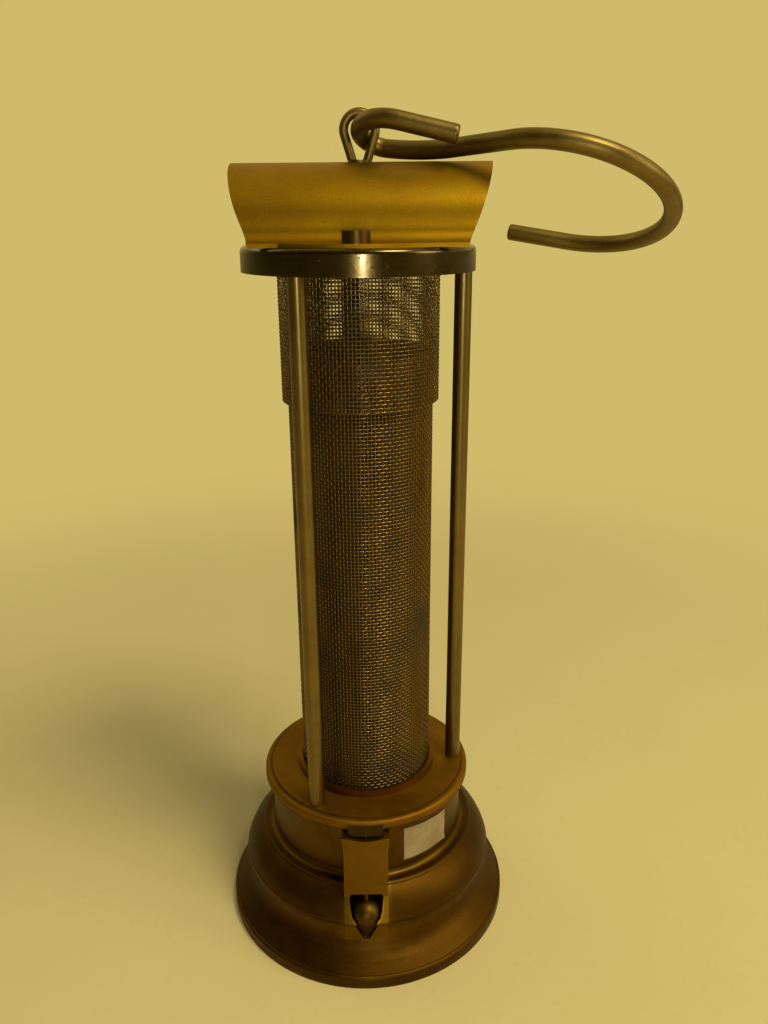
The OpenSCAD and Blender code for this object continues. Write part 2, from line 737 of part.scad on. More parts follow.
// One side of the hood's bent sheet, from the flare up to the crown
module hood_half() {
    translate([-hood_reach, hood_half_w - hood_t + seam, side_z - side_h - hood_lap])
        cube([2 * hood_reach, hood_t - 2 * seam, side_h + 2 * hood_lap]);
    translate([0, hood_half_w - hood_side_r, side_z]) bent_sheet(hood_side_r - hood_t, 0, join_angle, 0);
    translate([0, hood_half_w + flare_r, foot_top + flare_r]) bent_sheet(flare_r, 180, 270, 0);
}

// Rounded foot on the ring, starting where the flare ends
module hood_foot() {
    intersection() {
        disc(foot_reach, ring_top, foot_top);
        translate([-hood_reach, hood_half_w + flare_r - hood_lap, ring_top + seam])
            cube([2 * hood_reach, foot_reach, hood_t - 2 * seam]);
    }
}

// Side outline of the hood, its slanting ends bulging a little
module hood_side() {
    low = [for (k = [0 : end_steps]) end_point(k / end_steps)];
    polygon(concat([for (p = low) p], [for (k = [end_steps : -1 : 0]) [-low[k][0], low[k][1]]]));
}

module hood() {
    color(brass) on_ring() difference() {
        union() {
            intersection() {
                union() {
                    translate([0, 0, crown_mid])
                        bent_sheet(crown_r - hood_t, join_angle - crown_lap,
                                   180 - join_angle + crown_lap, seam);
                    hood_half();
                    mirror([0, 1, 0]) hood_half();
                }
                rotate([90, 0, 0]) translate([0, 0, -hood_reach])
                    linear_extrude(height = 2 * hood_reach) hood_side();
            }
            hood_foot();
            mirror([0, 1, 0]) hood_foot();
        }
        rotate([0, 0, -hood_yaw]) translate([swivel_x - hood_x, 0, 0])
            disc(shank_r + turn_gap, crown_z - hood_side_r, crown_z + over);
        for (s = [-1, 1]) translate([0, s * screw_y, 0])
            disc(screw_r + fit_gap, ring_top - over, foot_top + over);
    }
}

module hood_screws() {
    color(bronze) on_ring() for (s = [-1, 1]) translate([0, s * screw_y, 0]) {
        difference() {
            disc(screw_head_r, foot_top, foot_top + screw_head_h);
            translate([-screw_head_r - over, -slot_w / 2, foot_top + screw_head_h - slot_d])
                cube([2 * screw_head_r + 2 * over, slot_w, slot_d + over]);
        }
        disc(screw_r, ring_top - screw_depth, foot_top + over);
    }
}

module swivel_eye() {
    span = 180 - 2 * (leg_turn - 90);
    color(bronze) translate([swivel_x, 0, 0]) {
        translate([0, 0, loop_mid]) rotate([90, 0, 0]) rotate([0, 0, leg_turn - 90])
            rotate_extrude(angle = span) translate([loop_r, 0]) circle(r = loop_wire_r);
        for (m = [0, 1]) mirror([m, 0, 0]) translate([leg_x, 0, shank_top]) rotate([0, 90 - leg_turn, 0])
            translate([0, 0, -loop_wire_r])
                cylinder(r = loop_wire_r - seam, h = leg_len + loop_wire_r + lap / 2);
        disc(shank_r, washer_z - rivet_h, shank_top);
        disc(shank_r + rivet_w, washer_z - rivet_h, washer_z);
    }
}

module swivel_washer() {
    color(brass) translate([swivel_x, 0, 0]) tube(washer_r, shank_r + fit_gap, washer_z, washer_top);
}

// Straight stretch of hook wire that starts just inside a bend and has a rounded far end
module wire_end(len) {
    r = hook_r - seam;
    rotate_extrude() {
        translate([0, -lap]) square([r, len + lap - end_round]);
        translate([0, -lap]) square([r - end_round, len + lap]);
        translate([r - end_round, len - end_round]) circle(r = end_round);
    }
}

// Wire bent to the left or right of Y from the origin, and what follows at its end
module wire_bend(bend_r, turn, way, r, reach) {
    more = reach / bend_r * 180 / PI;
    translate([-way * bend_r, 0, 0]) {
        rotate([0, 0, (way > 0 ? 0 : 180 - turn) - more]) rotate_extrude(angle = turn + 2 * more)
            translate([bend_r, 0]) circle(r = r);
        rotate([0, 0, way * turn]) translate([way * bend_r, 0, 0]) children();
    }
}

// Straight stretch of wire along Y from the origin, and what follows at its end
module wire_stretch(len) {
    rotate([-90, 0, 0]) translate([0, 0, -lap]) cylinder(r = hook_r - seam, h = len + 2 * lap);
    translate([0, len, 0]) children();
}

// Hook in its own plane, in the loop at the origin: bend, arm, shank, bow and tip, and the front of the eye
module hook_flat() {
    wire_bend(eye_r, eye_turn, -1, hook_r - seam, lap)
        wire_bend(arm_r, arm_turn, -1, hook_r, 0)
            wire_stretch(shank_len)
                wire_bend(bow_r, bow_turn, 1, hook_r, 0)
                    rotate([-90, 0, 0]) wire_end(tip_len);
    mirror([0, 1, 0]) wire_bend(front_r, front_turn, -1, hook_r, 0)
        rotate([-90, 0, 0]) wire_end(return_len);
}

module hook() {
    color(bronze) multmatrix([[hook_a[0], hook_b[0], hook_n[0], swivel_x],
                              [hook_a[1], hook_b[1], hook_n[1], 0],
                              [hook_a[2], hook_b[2], hook_n[2], hook_z], [0, 0, 0, 1]]) hook_flat();
}

oil_vessel();
base_plate();
neck_collar();
burner_plate();
wick_tube();
wick();
pricker_tube();
lock_lug();
pricker();
lock_bolt();
seal_washer();
lower_ring();
gauze_seat_ring();
inner_gauze();
gauze_top();
gauze_cap();
cap_top();
pillar_front_left();
pillar_right();
pillar_back_left();
top_ring();
hood();
hood_screws();
swivel_eye();
swivel_washer();
hook();
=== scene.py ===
import math

import bpy
import numpy as np
from mathutils import Matrix, Vector


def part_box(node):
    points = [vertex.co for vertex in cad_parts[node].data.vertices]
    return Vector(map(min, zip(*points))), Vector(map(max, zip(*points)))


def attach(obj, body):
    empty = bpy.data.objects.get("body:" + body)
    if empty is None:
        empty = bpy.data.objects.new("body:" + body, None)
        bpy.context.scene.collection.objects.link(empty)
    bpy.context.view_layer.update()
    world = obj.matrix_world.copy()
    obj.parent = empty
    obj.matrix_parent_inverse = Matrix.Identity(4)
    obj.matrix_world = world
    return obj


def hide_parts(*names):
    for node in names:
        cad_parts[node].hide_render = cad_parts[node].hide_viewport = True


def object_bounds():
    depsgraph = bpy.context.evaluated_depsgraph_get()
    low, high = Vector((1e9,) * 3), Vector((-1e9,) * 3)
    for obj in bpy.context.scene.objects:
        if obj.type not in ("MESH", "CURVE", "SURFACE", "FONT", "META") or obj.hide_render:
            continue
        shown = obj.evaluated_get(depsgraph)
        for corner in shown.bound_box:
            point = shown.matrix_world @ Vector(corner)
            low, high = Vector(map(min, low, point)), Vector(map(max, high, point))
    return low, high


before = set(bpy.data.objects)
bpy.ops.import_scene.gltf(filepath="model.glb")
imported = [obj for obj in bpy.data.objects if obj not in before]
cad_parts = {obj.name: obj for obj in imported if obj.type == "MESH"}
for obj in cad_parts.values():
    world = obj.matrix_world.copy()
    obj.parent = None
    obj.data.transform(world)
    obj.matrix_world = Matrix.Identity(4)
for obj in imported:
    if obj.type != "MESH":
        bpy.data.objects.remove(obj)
cadLow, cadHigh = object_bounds()
mm = 0.001
print("frame loaded:", len(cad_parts), "solids")


class Sock:
    # one shader value; arithmetic on it adds Math nodes, and add() adds any other node
    def __init__(self, tree, socket=None):
        self.tree = tree
        self.socket = socket

    def add(self, kind, settings=None, sockets=None, out=0):
        node = self.tree.nodes.new(kind)
        for key, value in (settings or {}).items():
            setattr(node, key, value)
        for key, value in (sockets or {}).items():
            if isinstance(value, Sock):
                self.tree.links.new(value.socket, node.inputs[key])
            else:
                node.inputs[key].default_value = value
        return Sock(self.tree, node.outputs[out]) if node.outputs else Sock(self.tree)

    def __add__(self, other):
        return self.add("ShaderNodeMath", {"operation": "ADD"}, {0: self, 1: other})

    def __sub__(self, other):
        return self.add("ShaderNodeMath", {"operation": "SUBTRACT"}, {0: self, 1: other})

    def __rsub__(self, other):
        return self.add("ShaderNodeMath", {"operation": "SUBTRACT"}, {0: other, 1: self})

    def __mul__(self, other):
        return self.add("ShaderNodeMath", {"operation": "MULTIPLY"}, {0: self, 1: other})

    __radd__ = __add__


def sibling(value, output):
    # another output of the node that a value comes from
    return Sock(value.tree, value.socket.node.outputs[output])


def newMaterial(name):
    material = bpy.data.materials.new(name)
    material.use_nodes = True
    material.node_tree.nodes.clear()
    place = Sock(material.node_tree).add("ShaderNodeTexCoord", out="Object")
    return material, place


def noise(place, scale, detail=4, rough=0.55):
    return place.add("ShaderNodeTexNoise", {},
                     {"Vector": place, "Scale": scale, "Detail": detail, "Roughness": rough})


def swing(value, size):
    # noise, which lies round 0.5, as a change to either side of 0
    return (value - 0.5) * size


def cells(place, scale):
    return place.add("ShaderNodeTexVoronoi", {"feature": "F1"}, {"Vector": place, "Scale": scale})


def between(value, low, high):
    # 0 below low, 1 above high, smooth on the way
    return value.add("ShaderNodeMapRange", {"interpolation_type": "SMOOTHSTEP"},
                     {"Value": value, "From Min": low, "From Max": high})


def mixed(mask, first, second):
    return mask.add("ShaderNodeMix", {"data_type": "RGBA"}, {0: mask, 6: first, 7: second}, out=2)


def stretched(place, scales):
    return place.add("ShaderNodeVectorMath", {"operation": "MULTIPLY"}, {0: place, 1: scales})


def axesOf(place):
    across = place.add("ShaderNodeSeparateXYZ", {}, {0: place}, out="X")
    return across, sibling(across, "Y"), sibling(across, "Z")


def heightOf(place):
    return axesOf(place)[2]


def radiusOf(place):
    flat = stretched(place, (1, 1, 0))
    return place.add("ShaderNodeVectorMath", {"operation": "LENGTH"}, {0: flat}, out="Value")


def aroundAxis(place, drift):
    # lathe coordinates: radius, height and a little of the place across, so that turned lines fade
    across = axesOf(place)[0]
    return place.add("ShaderNodeCombineXYZ", {},
                     {"X": radiusOf(place), "Y": heightOf(place), "Z": across * drift})


def hollowness(place, reach, inside):
    # 1 in corners (inside False) or along outer edges (inside True), 0 on open faces
    seen = place.add("ShaderNodeAmbientOcclusion",
                     {"samples": 12, "inside": inside, "only_local": True},
                     {"Distance": reach}, out="AO")
    return 1 - seen


def finishMaterial(material, place, sockets, relief, depth):
    # the sockets' values on one Principled shader, with a relief pattern raised by depth
    sockets["Normal"] = place.add("ShaderNodeBump", {},
                                  {"Strength": 1.0, "Distance": depth, "Height": relief})
    shader = place.add("ShaderNodeBsdfPrincipled", {}, sockets)
    place.add("ShaderNodeOutputMaterial", {}, {"Surface": shader})
    return material


# how the layers of every metal finish are laid over each other
ageing = {
    "latheDrift": 0.015, "cloudSize": 0.31,
    "patchBlotch": 0.6, "patchCloud": 0.4, "patchRange": (0.38, 0.62),
    "wearBlotch": 0.9, "wearSpeck": 0.3, "wearRange": (0.3, 0.85), "wearShine": 0.07,
    "darkCloud": 0.5, "darkRange": (0.25, 0.9), "darkCover": 0.85, "darkRough": 0.22, "darkDull": 0.45,
    "spotEdge": 0.08, "spotCover": 0.6, "spotRough": 0.12, "spotDull": 0.25, "spotPit": 0.8,
    "lineRange": (0.35, 0.7), "speckRange": (0.5, 0.75), "blotchBump": 0.3, "specular": 0.15,
}


def agedMetal(name, look):
    material, place = newMaterial(name)
    turned = look["grain"] == "turned"
    along = aroundAxis(place, ageing["latheDrift"]) if turned else stretched(place, look["grain"])
    lines = noise(along, look["grainScale"], detail=3, rough=0.7)
    blotch = noise(place, look["blotchScale"], detail=6, rough=0.62)
    cloud = noise(place, look["blotchScale"] * ageing["cloudSize"], detail=3, rough=0.5)
    speck = noise(place, look["speckScale"], detail=3, rough=0.6)
    edge = hollowness(place, look["edgeReach"], True)
    nook = hollowness(place, look["nookReach"], False)
    patchy = between(blotch * ageing["patchBlotch"] + cloud * ageing["patchCloud"], *ageing["patchRange"])
    scuffs = swing(blotch, ageing["wearBlotch"]) + swing(speck, ageing["wearSpeck"])
    wear = between(edge * look["edgeGain"] + scuffs, *ageing["wearRange"])
    # darker, duller and rougher in hollows and corners and in random clouds; where a finish has it, the
    # painted shade under an overhanging rim is added in below
    darkToneAndPaintedShade = between(nook * look["nookGain"] + swing(cloud, ageing["darkCloud"]), *ageing["darkRange"])
    # painted shade: darker below a height and beyond a radius, where an overhanging rim shades the surface
    if "grimeAndPaintedShade" in look:
        grimeAndPaintedShade = look["grimeAndPaintedShade"]
        ragged = swing(blotch, grimeAndPaintedShade["ragged"])
        low = 1 - between(heightOf(place) + ragged, *grimeAndPaintedShade["below"])
        far = between(radiusOf(place) + ragged * grimeAndPaintedShade["raggedAcross"], *grimeAndPaintedShade["beyond"])
        darkToneAndPaintedShade = 1 - (1 - darkToneAndPaintedShade) * (1 - low * grimeAndPaintedShade["coverBelow"]) * (1 - far * grimeAndPaintedShade["coverBeyond"])
    spots = between(speck, look["spotFrom"], look["spotFrom"] + ageing["spotEdge"])
    colour = mixed(patchy, look["patina"], look["tarnish"])
    colour = mixed(between(lines, *ageing["lineRange"]) * look["grainTint"], colour, look["bare"])
    colour = mixed(between(speck, *ageing["speckRange"]) * look["speckTint"], colour, look["bare"])
    colour = mixed(wear * look["wear"], colour, look["bare"])
    colour = mixed(darkToneAndPaintedShade * ageing["darkCover"], colour, look["darkToneAndPaintedShade"])
    colour = mixed(spots * ageing["spotCover"], colour, look["darkToneAndPaintedShade"])
    roughness = look["rough"] + swing(blotch, look["roughSpread"]) + darkToneAndPaintedShade * ageing["darkRough"]
    roughness = roughness + spots * ageing["spotRough"] - wear * ageing["wearShine"]
    relief = lines * look["grainBump"] + speck * look["speckBump"] - spots * ageing["spotPit"]
    return finishMaterial(material, place, {
        "Base Color": colour,
        "Metallic": 1 - darkToneAndPaintedShade * ageing["darkDull"] - spots * ageing["spotDull"],
        "Roughness": roughness,
        "Specular IOR Level": ageing["specular"],
        "Coat Weight": look["coat"],
        "Coat Roughness": look["coatRough"],
    }, relief + blotch * ageing["blotchBump"], look["bumpDepth"])


# finishes of the solid metal pieces, colours as linear light
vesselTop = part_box("oil_vessel")[1].z
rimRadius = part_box("lower_ring")[1].x
vesselLook = {
    "patina": (0.054, 0.0225, 0.0020, 1), "tarnish": (0.074, 0.0330, 0.0026, 1),
    "bare": (0.175, 0.095, 0.008, 1), "darkToneAndPaintedShade": (0.013, 0.0065, 0.0015, 1),
    "grain": "turned", "grainScale": 2600, "grainTint": 0.06, "grainBump": 0.16,
    "blotchScale": 70, "speckScale": 900, "spotFrom": 0.70,
    "edgeReach": 2.6 * mm, "edgeGain": 1.1, "nookReach": 5 * mm, "nookGain": 1.1, "wear": 0.5,
    "rough": 0.48, "roughSpread": 0.22, "bumpDepth": 0.05 * mm, "speckTint": 0.10, "speckBump": 0.45,
    "coat": 0.0, "coatRough": 0.3,
}
# painted shade on the lock tab, which hangs below the flange and stands out past its rim: darker below the
# flange's top and beyond its rim
tabPaintedShade = {
    "below": (vesselTop - 1.0 * mm, vesselTop + 0.3 * mm), "coverBelow": 0.9,
    "beyond": (rimRadius + 0.1 * mm, rimRadius + 0.4 * mm), "coverBeyond": 0.95,
    "ragged": 1.5 * mm, "raggedAcross": 0.2,
}
flangeLook = dict(vesselLook, patina=(0.175, 0.078, 0.004, 1), tarnish=(0.230, 0.112, 0.005, 1),
                  bare=(0.34, 0.200, 0.013, 1), rough=0.60, edgeReach=1.2 * mm, grimeAndPaintedShade=tabPaintedShade)
seatLook = dict(vesselLook, patina=(0.150, 0.056, 0.0045, 1), tarnish=(0.200, 0.085, 0.006, 1),
                bare=(0.34, 0.200, 0.013, 1), edgeReach=0.8 * mm)
lugLook = dict(vesselLook, patina=(0.140, 0.066, 0.004, 1), tarnish=(0.175, 0.088, 0.005, 1),
               bare=(0.30, 0.175, 0.014, 1), darkToneAndPaintedShade=(0.046, 0.024, 0.003, 1), grain=(6, 1, 0.12),
               grainScale=900, edgeReach=0.9 * mm, nookReach=2.5 * mm, rough=0.46)
boltLook = dict(lugLook, patina=(0.070, 0.038, 0.005, 1), tarnish=(0.090, 0.050, 0.006, 1))
hoodLook = {
    "patina": (0.315, 0.172, 0.004, 1), "tarnish": (0.245, 0.130, 0.004, 1),
    "bare": (0.44, 0.265, 0.010, 1), "darkToneAndPaintedShade": (0.060, 0.030, 0.003, 1),
    "grain": (0.012, 1, 1), "grainScale": 3800, "grainTint": 0.12, "grainBump": 0.25,
    "blotchScale": 60, "speckScale": 1700, "spotFrom": 0.73, "speckTint": 0.30, "speckBump": 1.0,
    "edgeReach": 0.5 * mm, "edgeGain": 0.5, "nookReach": 3 * mm, "nookGain": 0.8, "wear": 0.40,
    "rough": 0.52, "roughSpread": 0.14, "bumpDepth": 0.04 * mm, "coat": 0.0, "coatRough": 0.3,
}
ringLook = dict(vesselLook, patina=(0.062, 0.042, 0.009, 1), tarnish=(0.082, 0.055, 0.012, 1),
                bare=(0.24, 0.180, 0.058, 1), darkToneAndPaintedShade=(0.015, 0.010, 0.003, 1), rough=0.22, roughSpread=0.16,
                spotFrom=0.66, edgeReach=0.8 * mm, wear=0.4, coat=0.3, coatRough=0.13)
pillarLook = dict(vesselLook, patina=(0.180, 0.122, 0.022, 1), tarnish=(0.138, 0.087, 0.014, 1),
                  bare=(0.34, 0.265, 0.100, 1), grain=(1, 1, 0.015), grainScale=3200, grainTint=0.12,
                  blotchScale=110, edgeReach=0.5 * mm, rough=0.36, roughSpread=0.18,
                  coat=0.3, coatRough=0.22)
hookLook = dict(vesselLook, patina=(0.160, 0.105, 0.021, 1), tarnish=(0.200, 0.136, 0.026, 1),
                bare=(0.34, 0.255, 0.065, 1), grain=(1, 1, 1), grainScale=700, grainTint=0.10,
                blotchScale=130, edgeReach=0.9 * mm, edgeGain=0.6, rough=0.45, bumpDepth=0.08 * mm,
                coat=0.1, coatRough=0.35)
screwLook = dict(vesselLook, patina=(0.085, 0.045, 0.010, 1), tarnish=(0.120, 0.066, 0.014, 1),
                 bare=(0.26, 0.160, 0.040, 1), grain=(1, 1, 1), blotchScale=400, edgeReach=0.4 * mm,
                 rough=0.42)
burnerLook = dict(vesselLook, patina=(0.24, 0.150, 0.030, 1), tarnish=(0.165, 0.095, 0.018, 1),
                  bare=(0.42, 0.290, 0.080, 1), edgeReach=0.8 * mm, blotchScale=140, rough=0.36)
prickerLook = dict(hookLook, patina=(0.12, 0.100, 0.075, 1), tarnish=(0.09, 0.070, 0.048, 1),
                   bare=(0.34, 0.32, 0.28, 1))

pieceLooks = {
    "vesselBronze": (vesselLook, ["oil_vessel", "base_plate"]),
    "flangeBronze": (flangeLook, ["lower_ring"]),
    "seatBrass": (seatLook, ["gauze_seat_ring"]),
    "lugBrass": (lugLook, ["lock_lug"]),
    "boltBrass": (boltLook, ["lock_bolt"]),
    "hoodBrass": (hoodLook, ["hood"]),
    "ringBronze": (ringLook, ["top_ring"]),
    "pillarBronze": (pillarLook, ["pillar_front_left", "pillar_right", "pillar_back_left"]),
    "hookBronze": (hookLook, ["hook", "swivel_eye"]),
    "screwBrass": (screwLook, ["hood_screws"]),
    "burnerBrass": (burnerLook, ["neck_collar", "burner_plate", "wick_tube", "pricker_tube",
                                 "swivel_washer"]),
    "prickerIron": (prickerLook, ["pricker"]),
}
for finish, (look, members) in pieceLooks.items():
    metal = agedMetal(finish, look)
    for member in members:
        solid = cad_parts[member]
        solid.data.materials.clear()
        solid.data.materials.append(metal)
print("metal finishes:", len(pieceLooks))


def newObject(name, data):
    thing = bpy.data.objects.new(name, data)
    bpy.context.scene.collection.objects.link(thing)
    return thing


def meshObject(name, points, faces, material):
    mesh = bpy.data.meshes.new(name)
    mesh.from_pydata(points, [], faces)
    mesh.polygons.foreach_set("use_smooth", np.ones(len(mesh.polygons), dtype=bool))
    mesh.update()
    mesh.materials.append(material)
    return newObject(name, mesh)


def wireMesh(name, wires, material):
    # each wire is (rings x sides x 3) points; closed wires join their last ring to their first
    points, faces, start = [], [], 0
    for rings, closed in wires:
        count, sides = rings.shape[:2]
        points.append(rings.reshape(-1, 3))
        rows = np.arange(count if closed else count - 1)
        this, after = rows * sides, (rows + 1) % count * sides
        for side in range(sides):
            turn = (side + 1) % sides
            faces.append(start + np.stack([this + side, this + turn, after + turn, after + side], 1))
        if not closed:
            faces.append(np.array([start + np.arange(sides)[::-1]]))
            faces.append(np.array([start + (count - 1) * sides + np.arange(sides)]))
        start += count * sides
    quads = [face for block in faces for face in block.tolist()]
    return meshObject(name, np.concatenate(points).tolist(), quads, material)


def evenTurns(count):
    return np.arange(count) * 2 * math.pi / count


def revolved(outline, turns):
    # rings with an outline of (radius, height) points at each turn
    return np.stack([outline[None, ::-1, 0] * np.cos(turns)[:, None],
                     outline[None, ::-1, 0] * np.sin(turns)[:, None],
                     np.broadcast_to(outline[None, ::-1, 1], (len(turns), len(outline)))], 2)


def boxOf(node):
    low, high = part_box(node)
    return low, high, (high.x - low.x) / 2


# woven wires in place of the plain gauze tubes and discs
gauze = {
    "pitch": 1.03 * mm,         # centre to centre of neighbouring wires
    "innerWire": 0.48 * mm,     # wire diameters
    "capWire": 0.42 * mm,
    "sides": 4,
    "spread": 1.1,              # square wires are a little wider, so that they look round
    "seamWires": 5,             # wires in the doubled seam of the cap
    "seamAngle": math.radians(-94.2),
    "sootAndPaintedShade": 0.08 * mm,          # thickness of the dark film of painted shade that closes the meshes of the inner gauze
    "shadeFilmSegments": 180, "seamSegments": 12,
}
corners = evenTurns(gauze["sides"])


def weaveDepth(wire):
    # two wires thick where they cross
    return (1 + gauze["spread"]) * wire


def wovenTube(outer, low, high, wire, angles=None):
    # uprights and hoops of plain weave on a cylinder, as two lists, outermost point at the given radius
    half, thick = wire / 2, gauze["spread"] * wire / 2
    middle = outer - half - thick
    hoops = max(2, round((high - low - wire) / gauze["pitch"]) + 1)
    levels = np.linspace(low + half, high - half, hoops)
    closed = angles is None
    if closed:
        angles = evenTurns(round(math.pi * middle / gauze["pitch"]) * 2)
    upright, hoop = [], []
    for index, angle in enumerate(angles):
        sway = half * (-1.0) ** (index + np.arange(hoops))
        heights = np.concatenate([[low], levels, [high]])
        reach = middle + np.concatenate([[0], sway, [0]])
        radial = reach[:, None] + thick * np.cos(corners)[None]
        aside = np.broadcast_to(thick * np.sin(corners)[None], radial.shape)
        upright.append((np.stack([radial * math.cos(angle) - aside * math.sin(angle),
                                  radial * math.sin(angle) + aside * math.cos(angle),
                                  np.broadcast_to(heights[:, None], radial.shape)], 2), False))
    for row, level in enumerate(levels):
        reach = middle - half * (-1.0) ** (row + np.arange(len(angles)))
        radial = reach[:, None] + thick * np.cos(corners)[None]
        hoop.append((np.stack([radial * np.cos(angles)[:, None], radial * np.sin(angles)[:, None],
                               np.broadcast_to(level - thick * np.sin(corners)[None], radial.shape)], 2),
                     closed))
    return upright, hoop


def wovenDisc(radius, level, wire):
    # plain weave cut to a circle
    thick = gauze["spread"] * wire / 2
    count = int(radius // gauze["pitch"])
    lines = np.arange(-count, count + 1) * gauze["pitch"]
    wires = []
    for index, line in enumerate(lines):
        half = math.sqrt(radius ** 2 - line ** 2)
        inner = np.abs(lines) < half - wire / 2
        if inner.sum() < 2:
            continue
        along = np.concatenate([[-half], lines[inner], [half]])
        sway = wire / 2 * (-1.0) ** (index + np.nonzero(inner)[0])
        sway = np.concatenate([[0], sway, [0]])
        for direction in (1, -1):
            side = line + thick * np.sin(corners)[None] * np.ones((len(along), 1))
            height = level + direction * sway[:, None] + thick * np.cos(corners)[None]
            run = np.broadcast_to(along[:, None], side.shape)
            spot = [side, run, height] if direction == 1 else [run, side, height]
            rings = np.stack(spot, 2)
            wires.append((rings if direction == -1 else rings[:, ::-1], False))
    return wires


def gauzeFinish():
    look = {"steel": (0.190, 0.118, 0.029, 1), "sootAndPaintedShade": (0.032, 0.020, 0.005, 1),
            "rust": (0.105, 0.054, 0.012, 1), "sootRange": (0.46, 0.72), "sootCover": 0.75,
            "rustRange": (0.52, 0.74), "rustCover": 0.55, "metal": 0.95, "sootDull": 0.35,
            "rough": 0.25, "sootRough": 0.22, "fineRough": 0.2, "bumpDepth": 0.02 * mm,
            "sootScale": 55, "fineScale": 1800, "rustScale": 120, "rustStretch": (1, 1, 0.35)}
    material, place = newMaterial("gauzeWire")
    cloud = noise(place, look["sootScale"], detail=5, rough=0.6)
    fine = noise(place, look["fineScale"], detail=2)
    drift = noise(stretched(place, look["rustStretch"]), look["rustScale"])
    sooty = between(cloud, *look["sootRange"])
    rusty = between(drift, *look["rustRange"])
    colour = mixed(sooty * look["sootCover"], look["steel"], look["sootAndPaintedShade"])
    colour = mixed(rusty * look["rustCover"], colour, look["rust"])
    return finishMaterial(material, place, {
        "Base Color": colour,
        "Metallic": look["metal"] - sooty * look["sootDull"],
        "Roughness": look["rough"] + sooty * look["sootRough"] + swing(fine, look["fineRough"]),
    }, fine, look["bumpDepth"])


wireFinish = gauzeFinish()
tubeLow, tubeHigh, tubeRadius = boxOf("inner_gauze")
capLow, capHigh, capRadius = boxOf("gauze_cap")
discLow, discHigh, discRadius = boxOf("gauze_top")
lidLow, lidHigh, lidRadius = boxOf("cap_top")
seamPitch = gauze["pitch"] / capRadius
seamOrder = np.arange(gauze["seamWires"]) - (gauze["seamWires"] - 1) / 2
seamTurns = gauze["seamAngle"] + seamOrder * seamPitch
seamRadius = capRadius - weaveDepth(gauze["capWire"])

tubeUprights, tubeHoops = wovenTube(tubeRadius, tubeLow.z, tubeHigh.z, gauze["innerWire"])
capUprights, capHoops = wovenTube(capRadius, capLow.z, capHigh.z, gauze["capWire"])
seamUprights, seamHoops = wovenTube(seamRadius, capLow.z, capHigh.z, gauze["capWire"], seamTurns)
gauzePieces = {
    "innerGauzeUprights": (tubeUprights, "inner_gauze"),
    "innerGauzeHoops": (tubeHoops, "inner_gauze"),
    "gauzeTopWires": (wovenDisc(discRadius, (discLow.z + discHigh.z) / 2, gauze["innerWire"]), "gauze_top"),
    "capWires": (capUprights + capHoops + seamUprights + seamHoops, "gauze_cap"),
    "capTopWires": (wovenDisc(lidRadius, (lidLow.z + lidHigh.z) / 2, gauze["capWire"]), "cap_top"),
}
for name, (wires, node) in gauzePieces.items():
    woven = wireMesh(name, wires, wireFinish)
    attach(woven, "frame")
    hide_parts(node)
    print(name, len(woven.data.polygons), "faces")


def paintedShadeFinish():
    # dark film of painted shade; its brown patches are painted light showing through the mesh
    look = {"sootAndPaintedShade": (0.014, 0.009, 0.003, 1), "paintedLightThrough": (0.090, 0.042, 0.005, 1),
            "cloudScale": 70, "cloudStretch": (1, 1, 0.5), "crumbScale": 1500, "crumbShare": 0.3,
            "paintedLightRange": (0.40, 0.66), "rough": 0.9, "bumpDepth": 0.05 * mm}
    material, place = newMaterial("paintedShadeFilm")
    cloud = noise(stretched(place, look["cloudStretch"]), look["cloudScale"], detail=5, rough=0.6)
    crumbs = noise(place, look["crumbScale"], detail=3, rough=0.6)
    paintedLightShare = between(cloud + swing(crumbs, look["crumbShare"]), *look["paintedLightRange"])
    return finishMaterial(material, place, {
        "Base Color": mixed(paintedLightShare, look["sootAndPaintedShade"], look["paintedLightThrough"]),
        "Roughness": look["rough"],
    }, crumbs, look["bumpDepth"])


def filmOutline(outer, low, high):
    inner = outer - gauze["sootAndPaintedShade"]
    return np.array([(outer, low), (outer, high), (inner, high), (inner, low)])


# painted shade: a dark film inside the inner gauze, with brown patches of painted light showing through,
# and a dark strip of painted shade behind the cap's seam
shadeFilmOuter = tubeRadius - weaveDepth(gauze["innerWire"])
shadeFilmRings = revolved(filmOutline(shadeFilmOuter, tubeLow.z, tubeHigh.z), evenTurns(gauze["shadeFilmSegments"]))
seamInner = seamRadius - weaveDepth(gauze["capWire"])
seamArc = np.linspace(seamTurns[0] - seamPitch / 2, seamTurns[-1] + seamPitch / 2, gauze["seamSegments"])
seamShadeRings = revolved(filmOutline(seamInner, tubeHigh.z, capHigh.z), seamArc)
sootAndPaintedShade = wireMesh("gauzePaintedShade", [(shadeFilmRings, True), (seamShadeRings, False)], paintedShadeFinish())
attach(sootAndPaintedShade, "frame")


# wick of twisted yarns round a core
wickPiece = {
    "strands": 6, "turns": 5.0, "steps": 90, "sides": 8,
    "fray": 0.5 * mm, "fraySpread": 0.37,       # uneven ends, spread over the strands
    "taper": 0.5, "taperFrom": 0.97,            # share that the burnt tips lose, and where it starts
    "charFrom": 4 * mm, "charTo": 1 * mm,       # below the top
}


